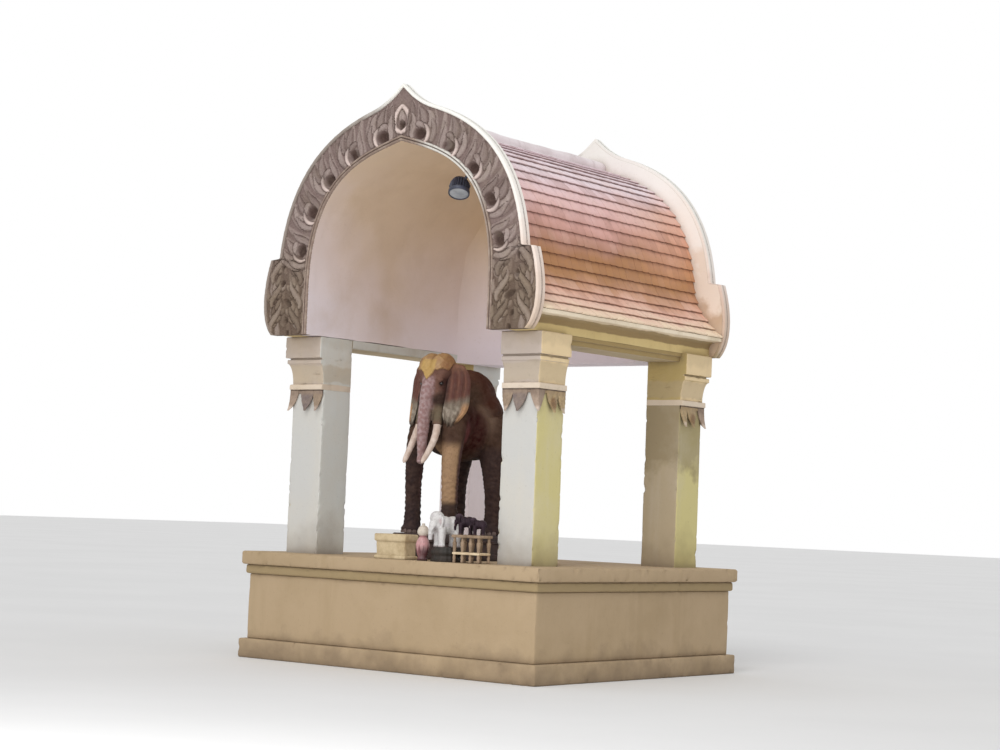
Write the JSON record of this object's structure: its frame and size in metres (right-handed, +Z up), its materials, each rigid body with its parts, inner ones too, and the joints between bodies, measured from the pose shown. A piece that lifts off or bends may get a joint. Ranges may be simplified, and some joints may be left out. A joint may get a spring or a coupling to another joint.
{
  "type": "spirit house",
  "caption": "Open masonry shrine on a moulded plinth: four square piers, a tiled pointed barrel vault between two carved ogee gables, and an elephant statue inside.",
  "frame": {"origin": "centre of the plinth's underside, on the ground", "axes": "+Z up, -Y out of the front arch, +X to the right seen from the front"},
  "size_m": [1.964, 1.815, 2.9772],
  "materials": {
    "plaster": "limewashed plaster, weathered",
    "white_rim": "white painted moulding, chalky",
    "carved_cement": "carved cement, worn paint",
    "roof_tile": "unglazed clay tiles",
    "dark_stone": "dark painted masonry",
    "statue_paint": "painted cast stone",
    "tusk_paint": "painted cast stone",
    "gold_paint": "gold paint over cast stone",
    "stand_wood": "worn, unvarnished",
    "white_glaze": "glazed",
    "red_glaze": "glazed",
    "trough_clay": "matte",
    "lamp_black": "satin black"
  },
  "bodies": {
    "root": {"plinth_base": "plaster", "plinth_body": "plaster", "plinth_band": "plaster", "floor_slab": "plaster", "pier_front_left": "plaster", "pier_front_right": "plaster", "pier_rear_left": "plaster", "pier_rear_right": "plaster", "capital_front_left": "plaster", "capital_front_right": "plaster", "capital_rear_left": "plaster", "capital_rear_right": "plaster", "leaves_front_left": "plaster", "leaves_front_right": "plaster", "leaves_rear_left": "plaster", "leaves_rear_right": "plaster", "beam_left": "plaster", "beam_right": "plaster", "rear_wall": "plaster", "vault_left": "plaster", "vault_right": "plaster", "roof_left": "roof_tile", "roof_right": "roof_tile", "ridge_cap": "white_rim", "front_gable_left": "carved_cement", "front_gable_right": "carved_cement", "rear_gable_left": "carved_cement", "rear_gable_right": "carved_cement", "front_rim": "white_rim", "rear_rim": "white_rim", "front_rolls": "white_rim", "rear_rolls": "white_rim", "front_carving": "carved_cement", "rear_carving": "carved_cement", "pedestal": "dark_stone", "elephant_body": "statue_paint", "elephant_head": "statue_paint", "elephant_tusks": "tusk_paint", "elephant_cap": "gold_paint", "white_figure": "white_glaze", "lidded_jar": "red_glaze", "offering_stand": "stand_wood", "dark_figures": "dark_stone", "incense_trough": "trough_clay", "arch_lamp": "lamp_black"}
  },
  "joints": []
}
